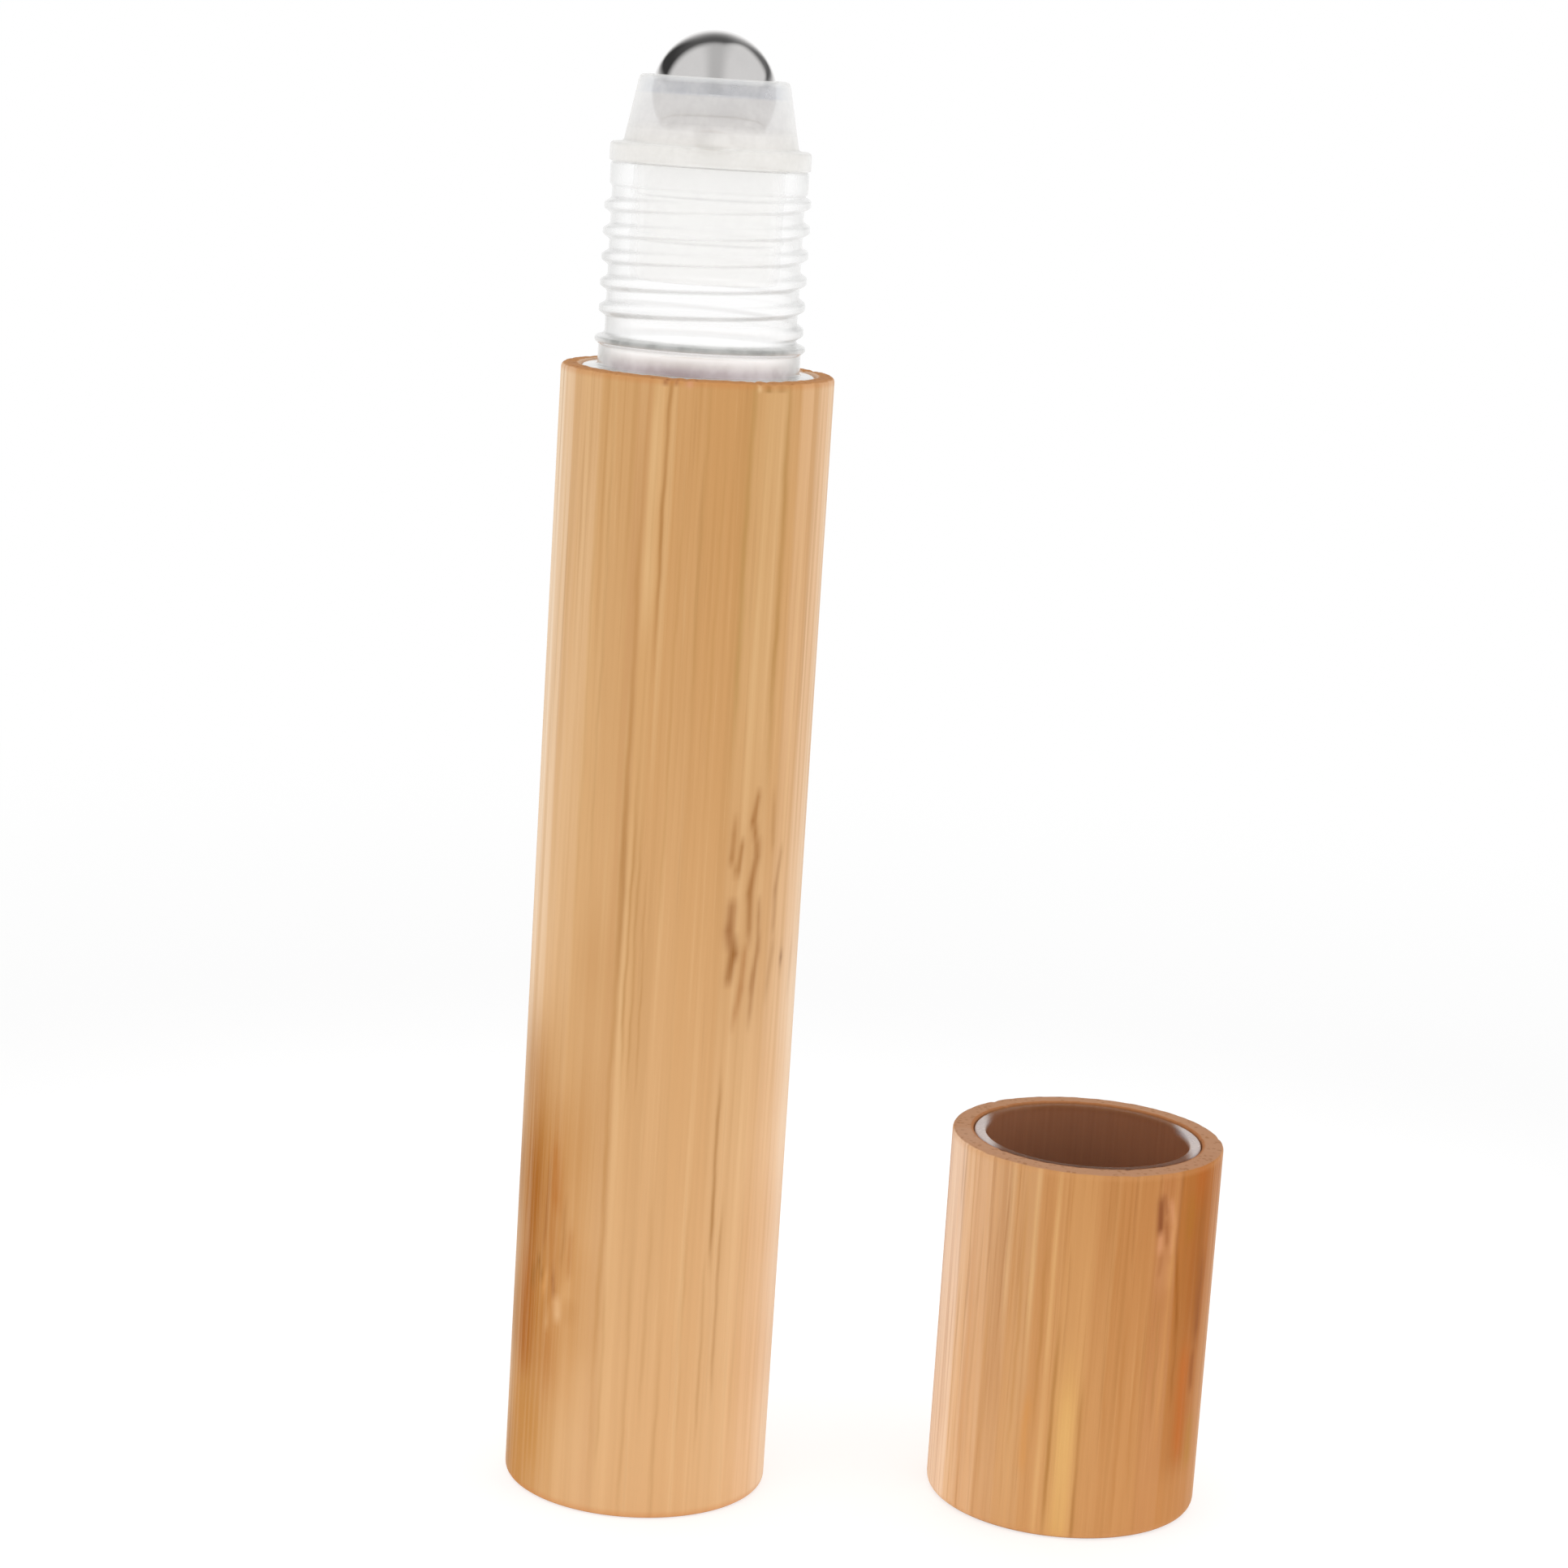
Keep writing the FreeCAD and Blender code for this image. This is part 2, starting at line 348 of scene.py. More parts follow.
def bambooMaterial(name, shape, look, axis=(0, 0)):
    finish, height, bore = bambooFinish, shape["height"], shape["bore"]
    material, tree, shader = newMaterial(name, **{
        "Coat Weight": finish["coat"], "Coat Roughness": 0.3, "Specular IOR Level": finish["gloss"]})
    place = placeInMm(tree, axis)
    parts = axes(place)
    angle = times(calc("ARCTAN2", parts["X"], times(parts["Y"], -1.0)), 180 / math.pi)
    fibres = useGroup(tree, fibreGroup, {"Place": place, "Shift": look["shift"]})
    slow = noise(stretched(place, (1, 1, 0.12)), 0.5, 2)
    wavy = timesPlus(slow, finish["jointWaver"], calc("SUBTRACT", angle, finish["jointWaver"] / 2))

    # Two layers of glued strips, one at the front and one at the back; the paler strips at the front's sides
    # are painted light
    fromBack = calc("SUBTRACT", calc("MODULO", calc("ADD", wavy, 360.0), 360.0), 180.0)
    behind = step(parts["Y"], low=-0.15, high=0.15)
    strips = stripColour(wavy, look["frontStripsAndSideLight"]), stripColour(fromBack, look["backStrips"])
    colour = mixColour(behind, *strips)

    # Tone and fibres, then paler towards the foot: painted light from the floor
    for output, low, high, amount, tint in finish["tints"]:
        colour = tinted(colour, step(fibres[output], low, high, 0.0, look[amount]), look[tint])
    colour = tinted(colour, times(fibres["Dark"], look["darkAmount"]), look["darkColour"])
    colour = tinted(colour, step(parts["Z"], height, 0.0, 0.0, look["footLightAmount"]), look["footLightColour"])

    # Marks along the grain, a few of them painted light, broken up by the fibres; the cover in their painted
    # colour is divided out
    paint = addNode(tree, "Attribute", attribute_name="grainAndLightPaint", attribute_type="GEOMETRY").outputs
    cover = times(paint["Alpha"], step(fibres["Fine"], 0.3, 0.6, 0.72, 1.0))
    inputs = {0: 1.0, 6: paint["Color"], 7: calc("MAXIMUM", paint["Alpha"], 0.001)}
    painted = addNode(tree, "Mix", inputs, data_type="RGBA", blend_type="DIVIDE").outputs[2]
    colour = mixColour(cover, colour, painted)

    # End grain on the flat faces, raw wood in the bore, darkened in the cap as painted shade
    up = axes(addNode(tree, "NewGeometry").outputs["Normal"])["Z"]
    endFace = step(calc("ABSOLUTE", up), low=0.55, high=0.92)
    pores = times(fibres["Pores"], finish["poreAmount"])
    endColour = tinted(screenColour(look["endColour"]), pores, look["poreColour"])
    colour = mixColour(times(endFace, finish["endAmount"]), colour, endColour)
    inside = step(fromAxis(place), low=bore + 0.3, high=bore + 0.1)
    boreWoodAndShade = tinted(screenColour(look["boreDark"]), fibres["Fine"], look["boreLight"])
    colour = mixColour(inside, colour, boreWoodAndShade)

    # Rubbed edges at the rim and the foot
    rim = step(parts["Z"], low=height - 0.7, high=height - 0.2)
    edge = calc("MAXIMUM", rim, step(parts["Z"], low=0.8, high=0.2))
    colour = tinted(colour, times(edge, look["edgeAmount"]), look["edgeColour"])
    feed(shader["Base Color"], colour)

    rough = step(fibres["Fine"], 0.25, 0.75, look["roughness"] + 0.08, look["roughness"] - 0.06)
    rough = timesPlus(calc("MAXIMUM", endFace, inside), finish["rawRoughness"], rough)
    feed(shader["Roughness"], rough)
    relief = timesPlus(fibres["Dark"], finish["darkRelief"], fibres["Fine"])
    relief = timesPlus(cover, finish["markRelief"], relief)
    relief = timesPlus(times(fibres["Pores"], endFace), finish["poreRelief"], relief)
    raised(shader, relief, strength=0.35, depth=0.02)
    return material


cup = {
    "boreEase": 0.18, "floorEase": 0.3, "rimZone": 1.5, "rimRows": 0.2, "chipZone": 1.2, "grooveFade": 4,
    "turnedWaves": [(0.012, 5, 2.0), (0.008, 11, -5.0)],  # depth in mm, waves round, lean in degrees per mm
    "rippleWaves": [(1.0, 23, 0.4), (1.0, 41, 1.9), (0.7, 67, 0.9)],  # weight, waves round, phase
    "wanderWaves": [(1.0, 0.31, 1), (0.6, 0.83, 2), (0.4, 1.9, 3)],  # weight, radians per mm, phase
    "markFade": 0.3, "markUneven": 0.12,
}


def bambooRelief(degrees, height, at):
    # Glue joints: shallow grooves, bell curves across the angle. Turned surface: two slow waves round it
    relief = 0
    for depth, count, lean in at.turnedWaves:
        relief = relief + depth * np.sin(np.radians(degrees * count + height * lean))
    for middle, low, high, width, depth in at.grooves:
        relief = relief - depth * bell(degrees, middle, width) * between(height, low, high, at.grooveFade)
    return relief


def rimChips(degrees, at):
    # How far the rim is chipped down: bell curves in angle plus a fine ripple of three sine waves
    chips = sum(depth * bell(degrees, middle, width) for middle, width, depth in at.chips)
    turn = np.radians(degrees)
    ripple = sum(weight * np.sin(turn * count + phase) for weight, count, phase in at.rippleWaves)
    most = sum(weight for weight, count, phase in at.rippleWaves)
    return chips + at.ripple * (ripple + most) / (2 * most)


def grainAndLightPaint(degrees, height, marks, at):
    # A mark is a bell curve across in degrees with smooth ends in height. Its middle leans, and wanders as a
    # sum of three sine waves. Marks lie over each other: paint = paint (1 - f) + colour f, cover likewise
    paint = np.zeros(np.broadcast(degrees, height).shape + (4,))
    for start, low, high, width, amount, code, *sway in marks:
        lean, waver = sway or (0, 0.3)
        turn = start * 1.7 + low  # gives each mark waves of its own
        wander = sum(weight * np.sin(height * rate + turn * phase) for weight, rate, phase in at.wanderWaves)
        middle = start + lean * (height - (low + high) / 2) + waver * wander
        uneven = 1 - at.markUneven + at.markUneven * np.sin(height * 0.57 + turn * 5)
        ends = between(height, low, high, at.markFade * (high - low))
        factor = np.clip(amount * bell(degrees, middle, width) * ends * uneven, 0, 1)[..., None]
        paint = paint * (1 - factor) + factor * np.array(screenColour(code))
    return paint


def bambooCup(name, shape, look, axis=(0, 0)):
    # A turned blank drilled from the top: relief on the outer wall, chips at the rim, marks along the grain,
    # a few of them painted light
    at = SimpleNamespace(**shape, **cup)
    corners = [(0, 0), (at.radius, 0, at.endEase), (at.radius, at.height, at.rimEase),
               (at.bore, at.height, at.boreEase), (at.bore, at.floor, at.floorEase), (0, at.floor)]
    outline = easedOutline(corners)
    wallEnd = int(np.argmax(outline[:, 1] > at.height - 0.01))
    wall = closerRows(outline[1:wallEnd], at.rows)
    nearRim = wall[1:, 1] > at.height - at.rimZone
    wall = closerRows(wall, np.where(nearRim, at.rimRows, at.rows))
    outline = np.vstack([[[0, 0], [0.5 * at.radius, 0]], wall, outline[wallEnd:]])
    degrees, radius, height = carriedRound(outline, at.columns)
    outer = ramp(radius, at.radius - 0.6, at.radius - 0.1) * ramp(height, 0.1, 0.8)
    grid = radius + outer * bambooRelief(degrees, height, at)
    lowered = height - ramp(height, at.height - at.chipZone, at.height - 0.05) * rimChips(degrees, at)
    onWall = ramp(radius, at.bore + 0.3, at.radius - 0.5)[..., None]
    paint = grainAndLightPaint(degrees, height, look["marks"], at) * onWall
    return turnedMesh(name, grid, lowered, at.columns, axis, paint=paint)


sleeve = {
    "radius": 10.0, "bore": 8.65, "height": 85.3, "floor": 3.0, "endEase": 0.55, "rimEase": 0.42,
    "rows": 0.9, "columns": 720, "ripple": 0.05,
    "grooves": [  # degrees, low, high, width in degrees, depth in mm
        (-20, 2, 84, 0.9, 0.02), (-11, 60, 86, 0.8, 0.02), (24, 55, 86, 0.9, 0.025), (42, 50, 86, 0.9, 0.025),
        (27, 18, 36, 0.8, 0.02), (-47, 4, 84, 0.9, 0.015), (139, 2, 84, 0.9, 0.02), (-121, 2, 84, 0.9, 0.02)],
    "chips": [  # degrees, width in degrees, depth in mm
        (-12, 2.2, 0.06), (-5, 1.6, 0.07), (24, 1.8, 0.05), (27, 1.0, 0.08), (33, 2.0, 0.06), (41, 2.4, 0.06),
        (118, 2.0, 0.15), (-96, 1.8, 0.1), (-160, 2.4, 0.14)],
}
sleeveLook = {
    "shift": 3.7, "roughness": 0.46,
    "frontStripsAndSideLight": [  # degrees from the front where a glued strip starts, its colour; the pale strips beyond about 50 degrees are painted light on the sides
        (-100, "#F0D6B8"), (-72, "#EACAA6"), (-61, "#DDB589"), (-55, "#DDB486"), (-43, "#D6A976"),
        (-34, "#D0A16D"), (-24, "#CA9966"), (-18, "#D4A570"), (-12, "#CE9D68"), (6, "#CC9A64"),
        (24, "#CFA06C"), (30, "#D3A673"), (41, "#D2A370"), (49, "#DBAF82"), (61, "#E3BC95"), (72, "#ECCCAC")],
    "backStrips": [  # the same from the back
        (-100, "#E0BA90"), (-68, "#CD9C66"), (-41, "#D4A470"), (-14, "#CB9A64"), (20, "#D3A470"),
        (59, "#DEB78A")],
    "toneAmount": 0.3, "toneColour": "#C8955C", "bandAmount": 0.36, "fibreAmount": 0.2,
    "fibreColour": "#B8874F", "paleColour": "#E4BC89", "darkAmount": 0.2, "darkColour": "#A87A48",
    "footLightAmount": 0.4, "footLightColour": "#E8BE92", "endColour": "#B4875C", "poreColour": "#84573A",
    "boreDark": "#DCC4A8", "boreLight": "#EAD8C2", "edgeAmount": 0.35, "edgeColour": "#C98146",
    "marks": [  # degrees, low, high, width, amount, colour, then lean and waver where not 0 and 0.3
        (-20, -9, 94, 1.3, 0.5, "#B07E44"), (-19.5, 39, 60, 1.4, 0.6, "#A87640"),
        (-15.5, 64, 94, 2.4, 0.8, "#E2B986", 0.05, 0.2), (-11, 62, 94, 0.9, 0.8, "#AC7A44", 0.05, 0.3),
        (-15.5, 31, 60, 0.7, 0.7, "#B4844E"), (-12.5, 30, 56, 0.6, 0.6, "#B4844E", 0.02, 0.3),
        (-9, 30, 52, 0.6, 0.55, "#B4844E"), (-35, 40, 92, 0.8, 0.4, "#B88A54"),
        (-58, 38, 94, 1.2, 0.5, "#CFA473"), (-42, 36, 92, 1.0, 0.4, "#C39562"),
        (32, 50, 102, 7, 0.3, "#D8B07C", 0, 0), (24, 54, 94, 1.4, 0.6, "#B48B50"),
        (42, 52, 94, 1.6, 0.75, "#B0844A", -0.03, 0.3), (5, 56, 92, 0.8, 0.4, "#B98A50"),
        (13, 50, 90, 0.7, 0.35, "#B98A50"), (-3, 40, 84, 0.7, 0.35, "#B98A50"),
        (40, 32, 60, 14, 0.3, "#C49360", 0, 0), (27, 49.7, 54.2, 1.4, 0.85, "#A87440", 0.25, 0.1),
        (28.3, 48.9, 51.3, 1.2, 0.7, "#A87440", -2.4, 0), (30.9, 48.7, 52.8, 1.2, 0.8, "#A87440", 0.42, 0.1),
        (37.1, 52.7, 56, 1.5, 0.85, "#A36E3A", 1.07, 0), (38, 50.2, 54.4, 1.6, 0.85, "#A36E3A", -1.3, 0),
        (38.1, 47, 52.4, 1.8, 0.9, "#A06A36", 1.0, 0), (37.1, 43.6, 49.4, 1.7, 0.85, "#A36E3A", -0.3, 0.1),
        (47.8, 50.4, 56.2, 1.2, 0.55, "#AC7C48", -0.36, 0.2), (53, 46.8, 52, 1.3, 0.7, "#A87848", 0.83, 0),
        (51.9, 44, 49.2, 1.3, 0.65, "#A87848", 0, 0.2), (28, 43.8, 48.2, 2.4, 0.9, "#9C673A", 0.27, 0.1),
        (29.2, 42.8, 46.2, 2.2, 0.9, "#9C673A", -2.0, 0), (29.4, 40.8, 45, 2.0, 0.95, "#98622F", 0.7, 0),
        (35.3, 39.5, 44.8, 1.6, 0.75, "#AC7440", 0.42, 0.1), (33.7, 37.6, 41.8, 1.6, 0.7, "#AC7440", 1.05, 0),
        (42.7, 42.8, 48.2, 1.4, 0.75, "#A67240", -0.3, 0.1), (42, 39.8, 45.2, 1.5, 0.8, "#A67240", 0.7, 0.1),
        (41.1, 37.4, 43.2, 1.4, 0.75, "#A67240", 0.3, 0.1), (51.2, 39, 45.2, 1.7, 0.65, "#B0804E", 0.73, 0.1),
        (59.4, 41.6, 43.8, 1.4, 1.0, "#8C5C38", 0, 0), (69.3, 38.5, 44.5, 1.6, 0.5, "#B8895A", 0.3, 0.1),
        (28, 18, 36, 0.9, 0.85, "#A87844", -0.05, 0.25), (32.5, 8, 26, 0.8, 0.7, "#AC7C48", -0.05, 0.25),
        (26, 4, 22, 0.7, 0.5, "#B4844E"), (-53, -22, 44, 15, 0.8, "#BE843E", 0, 0),
        (-76, -14, 42, 15, 0.8, "#A0661E", 0, 0), (-62, 0, 40, 11, 0.8, "#A96812", 0, 0),
        (-60, 8, 32, 7, 0.74, "#A05C0E", 0.1, 0.4), (-45, 4, 34, 7, 0.7, "#B06E2C", 0, 0.5),
        (-33, 4, 36, 9, 0.5, "#C4894A", 0, 0), (-66, -8, 12, 10, 0.75, "#BE802E", 0, 0),
        (-62, 8, 20, 7, 0.7, "#A85E10", 0, 0), (-28, 10, 22, 9, 0.35, "#C08A52", 0, 0),
        (-44.5, 22, 29, 3.0, 0.7, "#B26A26", -0.4, 0.3), (-64, 17, 29, 1.6, 0.6, "#9C6028", -0.2, 0.6),
        (-49, 18, 28, 1.3, 0.5, "#9A6030", 0.3, 0.6), (-35.1, 17.4, 22.6, 1.5, 0.6, "#B4763C", 0, 0.2),
        (-39, 18, 25, 1.2, 0.5, "#AA7440", 0.4, 0.6), (-53, 17.1, 19.6, 1.6, 0.8, "#8E5A20", -2.5, 0),
        (-57, 15.8, 18.4, 2.2, 0.7, "#96601E", 0.5, 0), (-43.2, 15.8, 18.8, 1.2, 0.85, "#96592A", -0.6, 0),
        (-48.5, 15.6, 18.2, 1.4, 0.6, "#D89C5E", 0.8, 0), (-40, 14.0, 16.4, 2.2, 0.65, "#E8BC8C", -0.4, 0),
        (-45.8, 13.4, 15.2, 1.4, 0.45, "#DEAE78", 0.5, 0), (-37, 15.4, 18, 3.0, 0.4, "#E0B07A", 1.6, 0),
        (-33, 14.2, 16.6, 4, 0.3, "#B9824A", 0.8, 0), (-17, 2, 20, 0.8, 0.4, "#B4844E"),
        (-6, -4, 24, 0.8, 0.3, "#B4844E"), (1, 6, 28, 0.8, 0.3, "#B4844E"), (8, -4, 18, 0.8, 0.3, "#B4844E"),
        (17, 2, 30, 0.8, 0.32, "#B4844E"), (44, 2, 30, 0.8, 0.4, "#C69A6A"),
        # the wide pale marks at 64 and 78 degrees are a painted highlight on the right side
        (64, -40, 60, 22, 0.4, "#F2D0AA", 0, 0), (78, -40, 60, 13, 0.6, "#FBE6CC", 0, 0),
        (-31, 18, 52, 10, 0.42, "#BE8A54", 0, 0), (118, 28, 44, 1.4, 0.8, "#A07042", 0.2, 0.7),
        (127, 24, 40, 1.2, 0.7, "#A07042", 0.1, 0.6), (-137, 52, 66, 1.4, 0.8, "#A07042", -0.2, 0.7),
        (-146, 56, 70, 1.1, 0.7, "#A6784C", 0.1, 0.6), (-13, 84.7, 85.9, 1.2, 0.8, "#80503A", 0, 0),
        (-8.5, 84.7, 85.9, 0.9, 0.75, "#8A5A44", 0, 0), (-3, 84.6, 85.9, 1.6, 0.6, "#E0A890", 0, 0),
        (26.4, 84.6, 85.4, 1.0, 0.8, "#EED0A0", 0, 0), (30.5, 84.5, 85.3, 1.9, 0.6, "#93692F", 0, 0),
        (37, 84.5, 85.3, 2.6, 0.5, "#9A7038", 0, 0), (165, 6, 80, 0.9, 0.6, "#A2723E", 0, 0.4),
        (-100, 8, 76, 0.8, 0.55, "#A87844", 0, 0.4)],
}
sleevePiece = bambooCup("bambooSleeve", sleeve, sleeveLook)
placePiece(sleevePiece, "bottle", "bamboo_sleeve",
           bambooMaterial("sleeveBamboo", sleeve, sleeveLook))

capAxis = (33.15, 0.65)
capShell = {
    "radius": 10.35, "bore": 8.75, "height": 28.75, "floor": 2.9, "endEase": 0.75, "rimEase": 0.3,
    "rows": 0.4, "columns": 720, "ripple": 0.03,
    "grooves": [
        (-37, 14, 30, 0.7, 0.015), (-13, 1, 16, 0.8, 0.02), (38.5, 4, 30, 0.9, 0.025), (0, 2, 13, 0.7, 0.015),
        (120, 1, 29, 0.9, 0.02), (-128, 1, 29, 0.9, 0.02)],
    "chips": [(14, 1.6, 0.06), (-52, 2.0, 0.05), (96, 2.0, 0.08), (-140, 1.8, 0.06)],
}
capLook = {
    "shift": 11.3, "roughness": 0.44,
    # the pale strips on the left side, from -100 to -47 degrees, are painted light
    "frontStripsAndSideLight": [
        (-100, "#F6DEC6"), (-66, "#E9C7A3"), (-57, "#DDB58E"), (-47, "#D4A87D"), (-36, "#CC9C6C"),
        (-24, "#C7925E"), (-12, "#C8925C"), (0, "#C28A55"), (9, "#BF844E"), (26, "#BA7C4A"),
        (38.5, "#B16E33"), (47, "#AB6629"), (62, "#B07240"), (72, "#C49068")],
    "backStrips": [
        (-100, "#C58C58"), (-60, "#CF985F"), (-28, "#C88C54"), (22, "#D09862"), (52, "#DAAC7C")],
    "toneAmount": 0.25, "toneColour": "#B4743C", "bandAmount": 0.3, "fibreAmount": 0.3,
    "fibreColour": "#A36A32", "paleColour": "#D5A068", "darkAmount": 0.26, "darkColour": "#8E5826",
    "footLightAmount": 0.25, "footLightColour": "#E2B078", "endColour": "#A7806A", "poreColour": "#7A543E",
    # the dark bore colours are painted shade inside the cap
    "boreDark": "#8E5634", "boreLight": "#A86A44", "edgeAmount": 0.25, "edgeColour": "#D29A66",
    "marks": [
        (-37, 12, 40, 1.1, 0.6, "#E0B684", 0, 0.06), (-25.5, 10, 40, 1.1, 0.65, "#E0B47E", 0, 0.06),
        (-16.5, 8, 40, 1.0, 0.65, "#DFB077", 0, 0.06), (-16.5, -6, 14, 1.1, 0.6, "#DFB077", 0, 0.06),
        (-6.5, -6, 17, 4.8, 0.6, "#DCAC66", 0, 0), (-6.5, -3, 13, 3.4, 0.4, "#E6BA76", 0, 0),
        (-12.5, -3, 19, 1.0, 0.75, "#A06C30", 0.03, 0.1), (-0.5, -4, 14, 0.9, 0.7, "#A06A32", 0, 0.1),
        (-20, 6, 26, 0.9, 0.6, "#B07A40"), (-23, 4, 12, 2.0, 0.6, "#D0904C"),
        (-30, 4, 30, 0.8, 0.5, "#B6824A"), (9, 4, 30, 0.9, 0.5, "#B47840"),
        (30.5, 18, 28, 4.2, 0.5, "#C68C60", -0.1, 0.4), (27.7, 23.4, 27.5, 1.9, 1.0, "#8A4F2C", -0.3, 0.1),
        (30, 25, 27.4, 1.0, 0.8, "#9A5E38", -1.2, 0), (31.4, 22.7, 25.4, 1.3, 0.9, "#9A5C34", -0.5, 0.1),
        (34, 24, 27, 1.6, 0.7, "#D4966C", -1.5, 0), (28.6, 22.2, 24.4, 1.6, 0.7, "#D4966C", 0, 0),
        (35, 21.8, 24.8, 1.5, 0.7, "#D4966C", 0, 0), (34.5, 19.2, 22.2, 2.2, 0.45, "#D49A62", 0, 0),
        (29.5, 20.4, 22.8, 1.2, 0.6, "#A86C40", 0.4, 0), (31, 8, 20, 0.9, 0.6, "#B07A44", -0.1, 0.4),
        (35.5, 4, 32, 1.3, 0.35, "#D89F60"), (40, 14.4, 24.4, 1.1, 0.75, "#94581F", -0.68, 0.1),
        (38.2, 21, 32, 0.9, 0.6, "#965C26", 0, 0.1), (45.5, 22.3, 27.2, 3, 0.5, "#A8701E", 0, 0),
        (41.5, 9, 19, 1.2, 0.6, "#965C26", -0.15, 0.6), (50, -4, 34, 10, 0.5, "#A05A1C", 0, 0),
        (50, 4, 16, 4.5, 0.7, "#BE6420", 0, 0.4), (54, 14, 30, 4.0, 0.5, "#96541A", 0, 0.4),
        (58, 13, 23, 3.2, 0.75, "#884814", 0, 0.4), (57, 10, 14.6, 2.4, 0.7, "#8E4C1A", 0, 0.4),
        (60, 3.5, 9.5, 4.0, 0.7, "#B07C30", 0, 0), (52, 24, 36, 5, 0.6, "#B45C18", 0, 0),
        (50, -4, 6, 16, 0.6, "#CC925A", 0, 0), (16, -2, 22, 0.8, 0.5, "#B47840"),
        (22, 2, 18, 0.8, 0.45, "#B47840"), (-44, -1, 20, 0.8, 0.45, "#C08F5A"),
        (-52, 2, 24, 0.8, 0.45, "#C49462"), (110, 4, 18, 1.2, 0.8, "#85522A", 0.2, 0.6),
        (-150, 12, 26, 1.2, 0.8, "#85522A", -0.2, 0.6)],
}
capPiece = bambooCup("capShell", capShell, capLook, capAxis)
placePiece(capPiece, "cap", "cap_shell",
           bambooMaterial("capBamboo", capShell, capLook, capAxis))


# Clear vial with its screw neck

screwThread = {"pitch": 1.85, "crestWidth": 0.34, "footWidth": 1.25, "runOut": 0.16}  # neck and cap
vial = {
    "foot": 3.02, "recess": 3.72, "recessEdge": 5.67, "footInside": 6.37, "radius": 8.57, "inner": 7.47,
    "innerFloor": 4.9, "taperLow": 82.33, "taperTop": 84.1, "shoulder": 85.2, "collar": 7.4, "bead": 7.7,
    "beadLow": 86.75, "beadHigh": 87.55, "root": 7.0, "land": 7.2, "landLow": 98.3, "top": 99.89,
    "neckBore": 5.7, "columns": 288, "rows": 6.0, "threadRows": 0.11,
    "thread": {**screwThread, "start": 88.38, "depth": 0.5, "firstTurn": -0.153, "lastTurn": 5.125},
}


def vialOutline(at):
    # From the hollow base out, up the wall and the neck, and down the inside; fine rows where the thread runs
    corners = [(0, at.recess), (at.recessEdge, at.recess, 0.35), (at.footInside, at.foot, 0.3),
               (at.radius, at.foot, 1.1), (at.radius, at.shoulder, 0.35), (at.collar, at.shoulder, 0.25),
               (at.collar, at.beadLow, 0.12), (at.bead, at.beadLow + 0.22, 0.2),
               (at.bead, at.beadHigh - 0.25, 0.2), (at.root, at.beadHigh, 0.25),
               (at.root, at.landLow - 0.2, 0.2), (at.land, at.landLow, 0.15), (at.land, at.top, 0.3),
               (at.neckBore, at.top, 0.2), (at.neckBore, at.taperTop, 0.9),
               (at.inner, at.taperLow, 1.1), (at.inner, at.innerFloor, 1.4), (0, at.innerFloor)]
    outline = easedOutline(corners)
    start = int(np.argmax(outline[:, 1] > at.beadHigh - 0.1))
    stop = int(np.argmax(outline[:, 1] > at.landLow - 0.25))
    neck = closerRows(outline[start:stop + 1], at.threadRows)
    return np.vstack([closerRows(outline[:start], at.rows), neck, closerRows(outline[stop + 1:], at.rows)])


def makeVial(shape):
    # The outline carried round, with the thread's rise added on the neck's root
    at = SimpleNamespace(**shape)
    degrees, radius, height = carriedRound(vialOutline(at), at.columns)
    onNeck = ramp(height, at.beadHigh + 0.1, at.beadHigh + 0.4) * (np.abs(radius - at.root) < 0.02)
    grid = radius + onNeck * threadRise(degrees, height, at.thread)
    return turnedMesh("clearVial", grid, height, at.columns)


def heightLayers(height, layers):
    # A layer is height, colour and cover; between two layers both change evenly
    low, high = layers[0][0], layers[-1][0]
    share = calc("DIVIDE", calc("SUBTRACT", height, low), high - low)
    stops = [((at - low) / (high - low), (*screenColour(code)[:3], cover)) for at, code, cover in layers]
    return colourRamp(share, stops)


